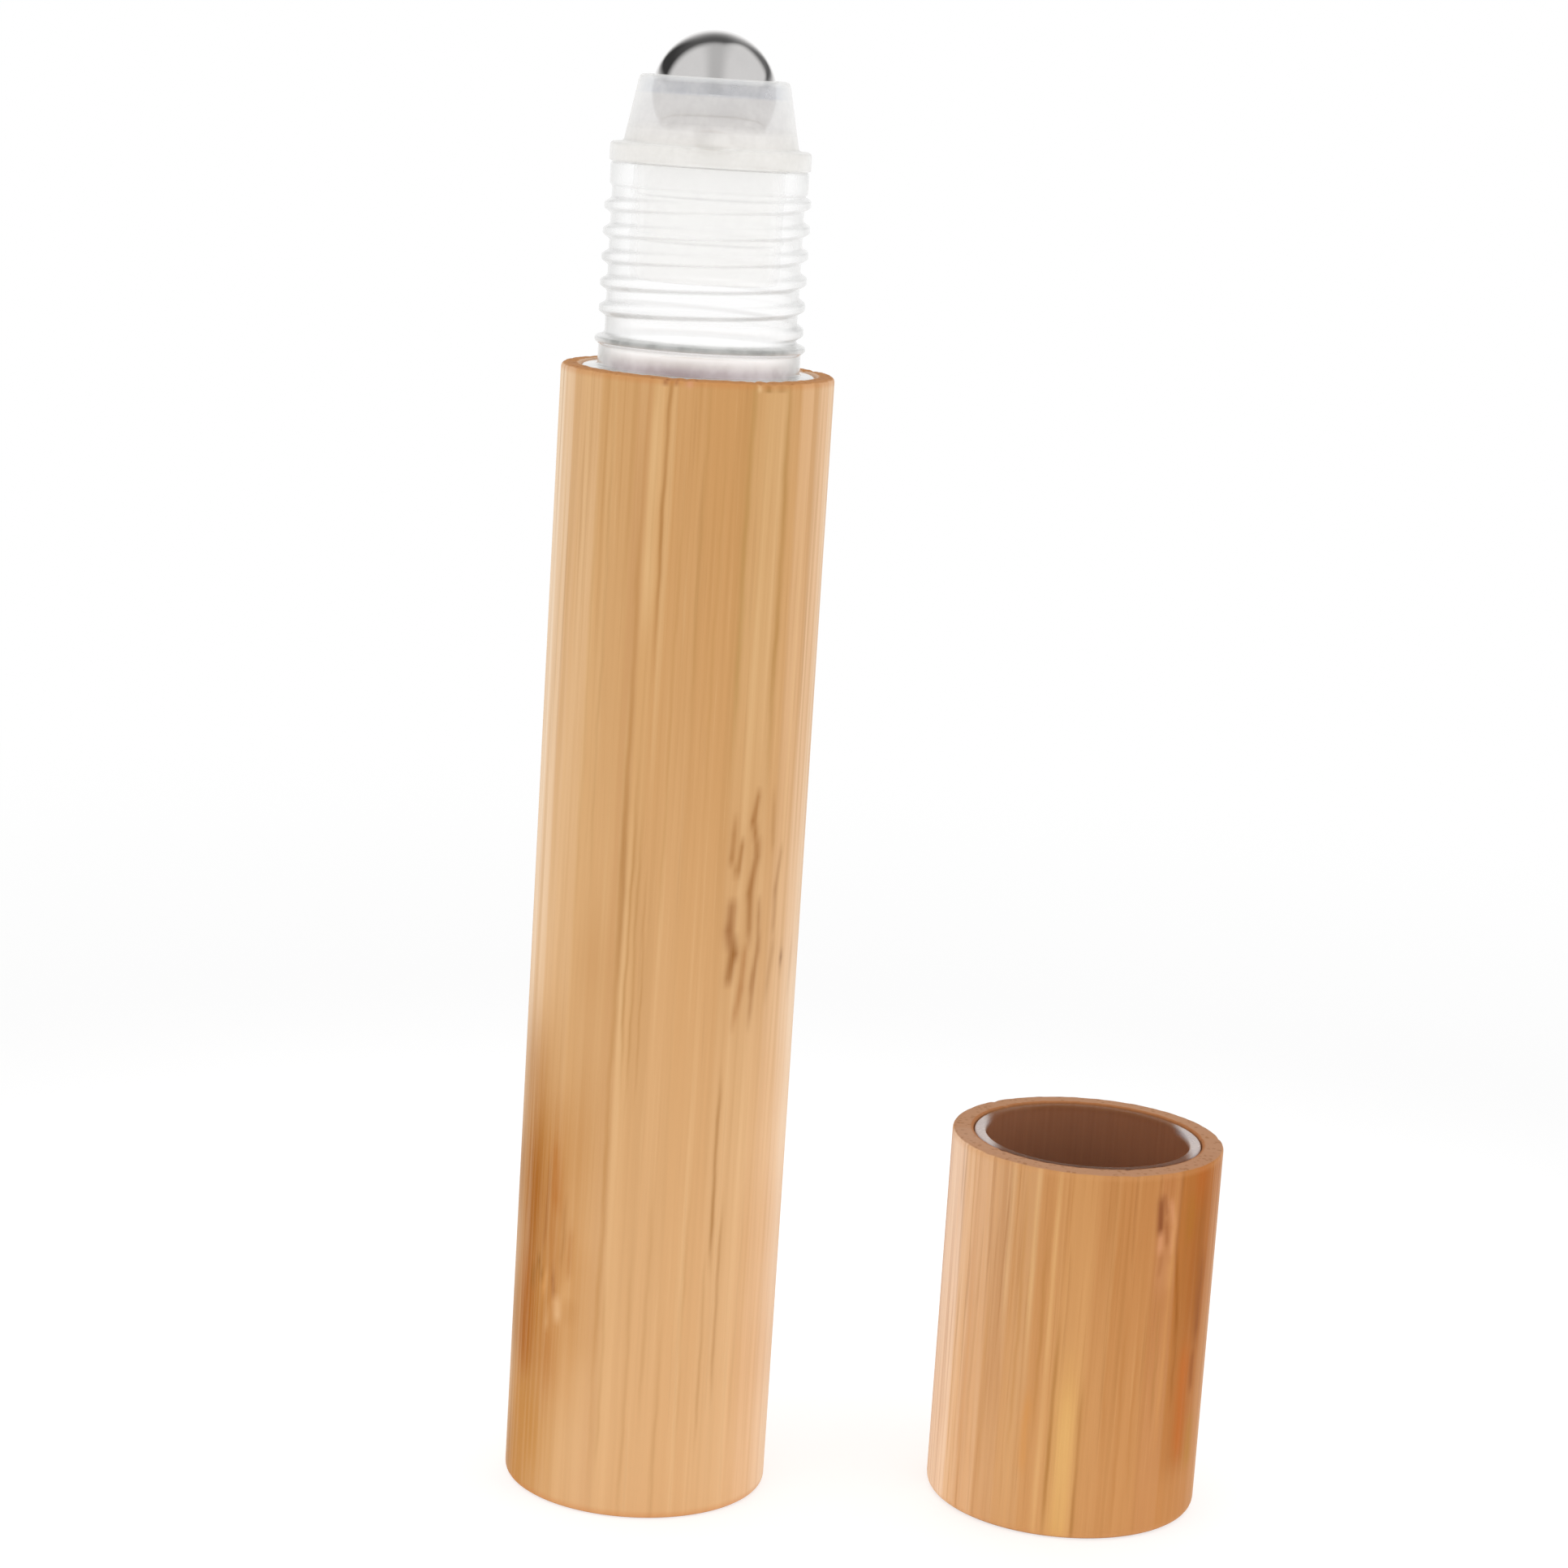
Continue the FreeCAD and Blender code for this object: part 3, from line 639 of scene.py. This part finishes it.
def milkyPlastic(name, look, axis=(0, 0)):
    # Plastic that lets part of what lies behind it show. Colour and cover change with the height and towards
    # the sides, where painted reflection and shade lie. It covers more, in painted grey shade, on flanks that
    # face down and where it is seen edge on, and less on its hollow inside, where it is seen from within and
    # at the sides of a plug. Its faint glow is painted light
    material, tree, shader = newMaterial(name, **{"IOR": 1.49, "Emission Strength": look["glow"]})
    place = placeInMm(tree, axis)
    parts = axes(place)
    surface = useGroup(tree, mouldGroup, {"Place": place, "Size": look["size"]})
    geometry = addNode(tree, "NewGeometry").outputs
    colour, cover = heightLayers(parts["Z"], look["layers"])
    # Towards the sides the colour and cover change: painted reflection and shade
    if "paintedSideLayers" in look:
        paintedSideColour, paintedSideCover = heightLayers(parts["Z"], look["paintedSideLayers"])
        beside = step(calc("ABSOLUTE", parts["X"]), look["sideFrom"], look["sideTo"])
        colour, cover = mixColour(beside, colour, paintedSideColour), mixValue(beside, cover, paintedSideCover)

    # Painted grey shade on flanks that face down and where it is seen edge on, and a slow cloud
    flank = times(step(axes(geometry["Normal"])["Z"], low=-0.1, high=-0.7),
                  step(parts["Z"], look["flankFaint"], look["flankFull"], start=0.2))
    flank = times(flank, step(parts["Z"], look["flankLow"] - 0.1, look["flankLow"] + 0.1))
    edgeOn = step(addNode(tree, "LayerWeight", {"Blend": 0.5}).outputs["Facing"], *look["edgeSpan"])
    cloudSpan = (0.3, 0.7)
    colour = tinted(colour, flank, look["flankShadeColour"])
    colour = tinted(colour, edgeOn, look["edgeColour"])
    colour = tinted(colour, step(surface["Cloud"], *cloudSpan, end=0.3), look["cloudColour"])
    feed(shader["Base Color"], colour)
    # The faint glow in the plastic's own colour is painted light
    feed(shader["Emission Color"], colour)

    cover = timesPlus(flank, look["flankCover"], cover)
    cover = timesPlus(edgeOn, look["edgeCover"], cover)
    fading = times(edgeOn, step(parts["Z"], look["fadeBelow"], look["fadeBelow"] - 0.3))
    cover = times(cover, timesPlus(fading, -0.75, 1.0))  # a quarter is left
    cover = times(cover, step(surface["Cloud"], *cloudSpan, start=0.94, end=1.06))
    solid = step(fromAxis(place), look["hollow"], look["hollow"] + 0.4, start=0.04)
    solid = calc("MAXIMUM", solid, step(parts["Z"], look["rim"] - 0.3, look["rim"] - 0.1))
    cover = times(cover, solid)
    cover = times(cover, step(geometry["Backfacing"], 0.0, 1.0, start=1.0, end=look["insideShare"]))
    feed(shader["Alpha"], calc("MINIMUM", cover, 1.0))
    feed(shader["Roughness"], speckled(surface, *look["roughness"]))
    raised(shader, surface["Cloud"], strength=0.5, depth=look["bump"])
    return material


vialLook = {
    "size": 1.0, "cloudColour": "#FFFFFF", "roughness": (0.12, 0.2), "bump": 0.03, "insideShare": 0.3,
    # the glow is painted light; the edge and flank greys are painted shade
    "glow": 0.14, "hollow": 5.8, "rim": 99.9, "edgeColour": "#B4B4B2", "edgeCover": 0.46,
    "edgeSpan": (0.14, 0.85), "fadeBelow": 0.0, "flankShadeColour": "#A8A8A4", "flankCover": 0.27,
    "flankFaint": 94.2, "flankFull": 89.3, "flankLow": 87.7,
    "layers": [  # height, colour, cover; the purple-grey over the collar and the dark line on the bead are painted shade
        (80.0, "#F0E8E2", 0.5), (84.8, "#E0D4CE", 0.3), (85.0, "#A89294", 0.3), (85.21, "#A89294", 0.3),
        (85.26, "#A59599", 0.95), (85.65, "#BAAFB3", 0.95), (86.1, "#DEDAD9", 0.92), (86.5, "#FFFFFF", 0.9),
        (86.74, "#FFFFFF", 0.6), (86.8, "#FFFFFF", 0.1), (86.93, "#FFFFFF", 0.1), (86.99, "#8A8B87", 0.85),
        (87.12, "#747571", 0.95), (87.36, "#747571", 0.9), (87.5, "#F6F6F4", 0.5), (87.7, "#FFFFFF", 0.5),
        (88.6, "#FFFFFF", 0.45), (89.2, "#FDFCFB", 0.06), (99.9, "#FBFAF8", 0.07)],
    "sideFrom": 6.6, "sideTo": 7.3,
    # at the sides: the white on the shoulder is painted reflection, the grey on the neck painted shade
    "paintedSideLayers": [
        (80.0, "#FFFFFF", 0.85), (85.05, "#FFFFFF", 0.95), (85.28, "#FFFFFF", 0.95), (85.4, "#D0CACE", 0.5),
        (86.3, "#DCDADA", 0.3), (87.2, "#C2C3C0", 0.4), (87.6, "#EEEEEC", 0.14), (99.9, "#F0F0EE", 0.12)],
}
placePiece(makeVial(vial), "bottle", "vial", milkyPlastic("vialPlastic", vialLook))


# Roller housing and ball

housing = {
    "plugEnd": 91.6, "plug": 5.5, "seal": 5.65, "sealTops": (95.1, 98.3), "sealHeight": 0.7, "plugBore": 4.6,
    "seatFoot": 99.91, "flange": 7.3, "flangeTop": 101.3, "coneFoot": 6.363, "coneTop": 5.413, "top": 106.2,
    "lip": 4.413, "socket": 4.56, "lipStart": 105.35, "seatTop": 103.16, "throat": 3.0, "seatLow": 101.6,
    "throatLow": 100.7, "grooveDepth": 0.3, "grooveWidth": 0.8, "seatSlope": 1.414, "rows": 0.5,
    "columns": 240,
}


def makeHousing(shape):
    # A closed outline carried round. In the seat, four grooves push the surface out where the distance
    # across the groove is under half its width
    at = SimpleNamespace(**shape)
    corners = [(at.plugBore, at.plugEnd, 0.2), (at.plug - 0.15, at.plugEnd, 0.15),
               (at.plug, at.plugEnd + 0.8, 0.3)]
    for top in at.sealTops:
        low = top - at.sealHeight
        corners += [(at.plug, low, 0.1), (at.seal, low + 0.2, 0.12), (at.seal, top - 0.2, 0.12),
                    (at.plug, top, 0.1)]
    corners += [(at.plug, at.seatFoot, 0.1), (at.flange, at.seatFoot, 0.15), (at.flange, at.flangeTop, 0.35),
                (at.coneFoot, at.flangeTop, 0.3), (at.coneTop, at.top, 0.4), (at.lip, at.top, 0.3),
                (at.socket, at.lipStart, 0.3), (at.socket, at.seatTop, 0.25), (at.throat, at.seatLow, 0.25),
                (at.throat, at.throatLow, 0.2), (at.plugBore, at.throatLow - 1.6, 0.4)]
    outline = easedOutline(corners)
    outline = closerRows(np.vstack([outline, outline[:1]]), at.rows)[:-1]
    degrees, radius, height = carriedRound(outline, at.columns)
    across = np.abs(radius * np.sin(np.radians((degrees + 45) % 90 - 45)))
    inGroove = 1 - ramp(across, 0.3 * at.grooveWidth, 0.55 * at.grooveWidth)
    seat = ramp(height, at.seatLow - 0.1, at.seatLow + 0.1) * (radius < at.socket - 0.02)
    seat = seat * (1 - ramp(height, at.seatTop - 0.15, at.seatTop))
    lowered = height - seat * inGroove * at.grooveDepth * at.seatSlope
    return turnedMesh("rollerHousing", radius, lowered, at.columns, loop=True)


housingLook = {
    "size": 1.4, "cloudColour": "#FAF8F5", "roughness": (0.3, 0.4), "bump": 0.05, "insideShare": 0.3,
    "glow": 0.02, "hollow": 4.7, "rim": 106.2, "edgeColour": "#E6E5E2", "edgeCover": 0.07,
    "edgeSpan": (0.25, 1.0), "fadeBelow": 99.9, "flankShadeColour": "#CFCFCC", "flankCover": 0.04,
    "flankFaint": 92.0, "flankFull": 96.0, "flankLow": 90.0,
    "layers": [
        # the grey over the bowl is painted shade of the ball behind it, the bluish band under the lip its
        # painted reflection
        (91.6, "#FBF9F5", 0.36), (99.7, "#F8F6F2", 0.42), (99.95, "#E2DFD9", 0.68), (101.2, "#E2DFD9", 0.76),
        (101.6, "#E4E1DD", 0.97), (102.3, "#E2DFDC", 0.93), (102.9, "#C9C5C3", 0.55),
        (104.8, "#C4C1C0", 0.45), (105.0, "#A3A8B3", 0.43), (105.75, "#ADB1B9", 0.41),
        (106.0, "#E4E6E8", 0.55), (106.2, "#E6E7E9", 0.6)],
}
placePiece(makeHousing(housing), "fitment", "roller_housing",
           milkyPlastic("housingPlastic", housingLook))

ball = {"radius": 4.5, "centre": 105.05, "rows": 97, "columns": 160}


def makeBall(shape):
    # Sphere: radius R cos t, height centre + R sin t, t from -90 to 90 degrees
    tilt = np.linspace(-np.pi / 2, np.pi / 2, shape["rows"])[:, None]
    height = shape["centre"] + shape["radius"] * np.sin(tilt)
    return turnedMesh("rollerBall", shape["radius"] * np.cos(tilt), height, shape["columns"])


def ballMaterial(look):
    # Polished steel with faint hair lines and a slow change of polish
    material, tree, shader = newMaterial("ballSteel", **{"Metallic": 1.0})
    place = placeInMm(tree)
    surface = useGroup(tree, mouldGroup, {"Place": place, "Size": look["size"]})
    hair = step(noise(stretched(place, look["hairStretch"]), 2.2, 3, 0.7), 0.62, 0.78)
    colour = tinted(screenColour(look["colour"]), surface["Cloud"], look["cloudColour"])
    colour = tinted(colour, times(hair, look["hairAmount"]), look["hairColour"])
    feed(shader["Base Color"], colour)
    rough = timesPlus(hair, look["hairRoughness"], speckled(surface, *look["roughness"]))
    feed(shader["Roughness"], rough)
    raised(shader, surface["Cloud"], strength=0.3, depth=0.01)
    return material


ballLook = {
    "size": 1.6, "colour": "#DAD8D7", "cloudColour": "#E4E2E1", "hairColour": "#8C8C8C", "hairAmount": 0.12,
    "hairStretch": (0.25, 6, 6), "hairRoughness": 0.05, "roughness": (0.03, 0.07),
}
placePiece(makeBall(ball), "ball", "roller_ball", ballMaterial(ballLook))


# Cap liner and seal pad

liner = {
    "floorUnder": 2.92, "radius": 8.67, "rim": 28.64, "bore": 7.77, "floor": 3.7, "columns": 240,
    "rows": 1.0, "threadRows": 0.13,
    "thread": {**screwThread, "start": 18.4, "depth": 0.45, "firstTurn": -0.2, "lastTurn": 2.7},
}


def makeLiner(shape):
    # A cup; its thread rises inwards from the bore, where the rows are fine
    at = SimpleNamespace(**shape)
    corners = [(0, at.floorUnder), (at.radius, at.floorUnder, 0.5), (at.radius, at.rim, 0.2),
               (at.bore, at.rim, 0.3), (at.bore, at.floor, 0.7), (0, at.floor)]
    outline = easedOutline(corners)
    fromBore = np.abs(outline[:, 0] - at.bore)
    inBore = np.maximum(fromBore[1:], fromBore[:-1]) < 0.02
    outline = closerRows(outline, np.where(inBore, at.threadRows, at.rows))
    degrees, radius, height = carriedRound(outline, at.columns)
    wall = np.abs(radius - at.bore) < 0.02
    grid = radius - wall * threadRise(degrees, height, at.thread)
    return turnedMesh("capLiner", grid, height, at.columns, capAxis)


linerLook = {
    "size": 1.0, "cloudColour": "#D2C0B4", "roughness": (0.2, 0.3), "bump": 0.04, "insideShare": 0.5,
    "glow": 0.0, "hollow": 0.0, "rim": 28.7, "edgeColour": "#C9B4A8", "edgeCover": 0.0,
    "edgeSpan": (0.25, 1.0), "fadeBelow": 0.0, "flankShadeColour": "#C9B4A8", "flankCover": 0.0, "flankFaint": 0.0,
    "flankFull": 1.0, "flankLow": 0.0,
    "layers": [
        (2.9, "#C9B4A8", 0.06), (28.1, "#C9B4A8", 0.06), (28.45, "#6A4430", 0.1), (28.7, "#6A4430", 0.1)],
    "sideFrom": 6.8, "sideTo": 7.9,
    # the pale blue crescents at the sides of the rim are painted reflection
    "paintedSideLayers": [
        (2.9, "#C9B4A8", 0.06), (28.1, "#C9B4A8", 0.06), (28.4, "#CED5E2", 0.8), (28.7, "#CED5E2", 0.8)],
}
placePiece(makeLiner(liner), "cap", "cap_liner",
           milkyPlastic("linerPlastic", linerLook, capAxis))

sealPad = {
    "radius": 7.07, "low": 3.73, "high": 4.7, "dentWidth": 2.2, "dentDepth": 0.14, "rows": 0.25,
    "columns": 200,
}


def makePad(shape):
    # Disc with eased edges; the ball's print is a bell curve, depth exp(-(r / width)^2), in the top face
    at = SimpleNamespace(**shape)
    corners = [(0, at.low), (at.radius, at.low, 0.2), (at.radius, at.high, 0.3), (0, at.high)]
    outline = closerRows(easedOutline(corners), at.rows)
    degrees, radius, height = carriedRound(outline, at.columns)
    dented = height - ramp(height, at.high - 0.3, at.high) * at.dentDepth * bell(radius, 0, at.dentWidth)
    return turnedMesh("capSealPad", radius, dented, at.columns, capAxis)


def foamMaterial(look):
    # Soft foam with small cells
    material, tree, shader = newMaterial("sealFoam", **{"Specular IOR Level": look["gloss"]})
    place = placeInMm(tree, capAxis)
    cells = addNode(tree, "TexVoronoi", {"Vector": place, "Scale": look["cellScale"]}).outputs["Distance"]
    surface = useGroup(tree, mouldGroup, {"Place": place, "Size": look["size"]})
    colour = tinted(screenColour(look["colour"]), surface["Cloud"], look["cloudColour"])
    colour = tinted(colour, step(cells, 0.5, 0.9, 0.0, look["cellAmount"]), look["cellColour"])
    feed(shader["Base Color"], colour)
    feed(shader["Roughness"], speckled(surface, *look["roughness"]))
    raised(shader, cells, strength=0.6, depth=0.08)
    return material


padLook = {
    "colour": "#E4E2DE", "cloudColour": "#D8D6D0", "cellColour": "#B9B5AE", "cellScale": 4.5,
    "cellAmount": 0.3, "size": 1.2, "gloss": 0.3, "roughness": (0.72, 0.88),
}
padPiece = makePad(sealPad)
placePiece(padPiece, "cap", "cap_seal_pad", foamMaterial(padLook))


# Floor, light and camera

floorLook = {
    "half": 6.0, "parts": 8, "drop": 0.00002, "middle": (0.016, 0, 0), "colour": "#F6F6F6", "roughness": 0.9,
    "gloss": 0.1, "nearShare": 0.55, "near": 0.07, "far": 0.3, "glow": 0.28, "glowNear": 0.05,
    "glowFar": 0.16,
}


def makeFloor(look):
    # A flat square grid, z just under zero. What looks straight at it sees it mostly as white paper
    count = look["parts"] + 1
    side = np.linspace(-look["half"], look["half"], count)
    across, deep = np.meshgrid(side, side, indexing="ij")
    points = np.stack([across.ravel(), deep.ravel(), np.full(across.size, -look["drop"])], axis=1)
    row = np.arange(look["parts"])
    corner = (row[:, None] * count + row[None, :]).ravel()
    faces = np.stack([corner, corner + count, corner + count + 1, corner + 1], axis=1)
    mesh = bpy.data.meshes.new("floor")
    mesh.from_pydata(points.tolist(), [], faces.tolist())
    floorPiece = inScene("floor", mesh)
    material, tree, shader = newMaterial("floorPaper", **{
        "Base Color": screenColour(look["colour"]), "Roughness": look["roughness"],
        "Specular IOR Level": look["gloss"], "Emission Strength": look["glow"]})
    path = addNode(tree, "LightPath").outputs
    seen = calc("MAXIMUM", path["Is Glossy Ray"], path["Is Transmission Ray"])
    seen = calc("MAXIMUM", path["Is Camera Ray"], seen)
    place = addNode(tree, "TexCoord").outputs["Object"]
    away = addNode(tree, "VectorMath", {0: place, 1: look["middle"]}, operation="DISTANCE").outputs["Value"]
    # Near the object the floor glows: painted light that brightens the object's foot and fills the shadow
    # under it
    share = times(seen, step(away, look["near"], look["far"], look["nearShare"], 1.0))
    lit = step(away, look["glowNear"], look["glowFar"], 1.0, 0.0)
    feed(shader["Emission Color"], addNode(tree, "CombineColor", {0: lit, 1: lit, 2: lit}).outputs[0])
    white = addNode(tree, "Emission", {"Color": (1, 1, 1, 1), "Strength": 1.0}).outputs[0]
    mixed = addNode(tree, "MixShader", {0: share, 1: tree.nodes["Principled BSDF"].outputs[0], 2: white})
    feed(tree.nodes["Material Output"].inputs["Surface"], mixed.outputs[0])
    mesh.materials.append(material)


makeFloor(floorLook)

room = {
    "ambient": 0.85, "back": 1.0, "front": 0.82, "stripe": 0.6, "stripeEdge": (0.42, 0.06),
    "ring": 0.05, "ringTop": 0.12, "ringRight": 0.12, "ringRise": (0.45, 0.95),  # the dark arch's levels
    "archHalf": 0.47, "archTop": 0.82, "archEdge": (0.4, 1.1), "archFoot": (0.08, 0.3),
    "ringEnd": 78, "ringNarrow": 20, "soft": 11,  # degrees from the back
    "rightSide": (0.1, 0.45), "rightHeight": (0.15, 0.4),
}


def makeRoom(look):
    # What lies around: a white panel behind the object in a dark arch, light in front. The panel's edge is
    # where (|x| / half)^4 + (z / top)^4 reaches 1
    world = bpy.data.worlds.new("room")
    bpy.context.scene.world = world
    world.use_nodes = True
    tree = world.node_tree
    background = tree.nodes["Background"]
    direction = axes(addNode(tree, "TexCoord").outputs["Generated"])
    aside = calc("ABSOLUTE", direction["X"])
    fromBack = times(calc("ARCCOSINE", direction["Y"]), 180 / math.pi)
    sideways = calc("DIVIDE", aside, look["archHalf"])
    upwards = calc("DIVIDE", calc("MAXIMUM", direction["Z"], 0.0), look["archTop"])
    sums = calc("ADD", calc("POWER", sideways, 4.0), calc("POWER", upwards, 4.0))
    inArch = calc("POWER", sums, 0.25)

    # The arch ends in front, sooner at the right
    right = step(direction["X"], *look["rightSide"])
    right = times(right, step(direction["Z"], *look["rightHeight"]))
    around = timesPlus(right, look["ringNarrow"], fromBack)
    inFront = step(around, look["ringEnd"] - look["soft"], look["ringEnd"] + look["soft"])
    atBack = step(around, look["ringEnd"] + look["soft"], look["ringEnd"] - look["soft"])
    band = times(step(inArch, *look["archEdge"]), atBack)
    band = times(band, step(direction["Z"], *look["archFoot"]))

    # Levels that polished things mirror, a plain one for all other light, white for the camera
    stripe = times(step(aside, *look["stripeEdge"]), inFront)
    level = timesPlus(inFront, look["front"] - look["back"], look["back"])
    level = timesPlus(stripe, look["stripe"] - look["front"], level)
    ring = step(direction["Z"], *look["ringRise"], look["ring"], look["ringTop"])
    ring = timesPlus(right, look["ringRight"], ring)
    path = addNode(tree, "LightPath").outputs
    strength = mixValue(path["Is Glossy Ray"], look["ambient"], mixValue(band, level, ring))
    strength = mixValue(path["Is Camera Ray"], strength, 1.0)
    background.inputs["Color"].default_value = (1, 1, 1, 1)
    feed(background.inputs["Strength"], strength)


makeRoom(room)

lamps = {
    "key": {"place": (-0.75, -0.6, 0.6), "size": 0.7, "watts": 1.6},
    "fill": {"place": (0.85, -0.35, 0.35), "size": 0.8, "watts": 1.4},
    "top": {"place": (0.05, 0.15, 0.95), "size": 0.8, "watts": 0.8},
}
lampAim = Vector((0.012, 0, 0.05))
for lampName, look in lamps.items():
    light = bpy.data.lights.new(lampName, "AREA")
    light.size, light.energy = look["size"], look["watts"]
    lamp = inScene(lampName, light)
    lamp.location = look["place"]
    lamp.rotation_euler = (lampAim - lamp.location).to_track_quat("-Z", "Y").to_euler()
    lamp.visible_glossy = lamp.visible_transmission = False

view = {
    "place": (0.0, -0.26697, 0.10772), "yaw": 1.758, "pitch": 11.214, "roll": 3.687,
    "lens": 83.636, "sensor": 36, "nearest": 0.01,
}
camera = bpy.data.cameras.new("camera")
camera.sensor_width, camera.lens, camera.clip_start = view["sensor"], view["lens"], view["nearest"]
cameraPiece = inScene("camera", camera)
turn = Euler((math.radians(90 - view["pitch"]), 0, math.radians(-view["yaw"]))).to_matrix()
turn = turn @ Matrix.Rotation(math.radians(view["roll"]), 3, "Z")
cameraPiece.matrix_world = Matrix.Translation(view["place"]) @ turn.to_4x4()
bpy.context.scene.camera = cameraPiece
bpy.context.scene.view_settings.view_transform = "Standard"
print("floor, lamps and camera placed")
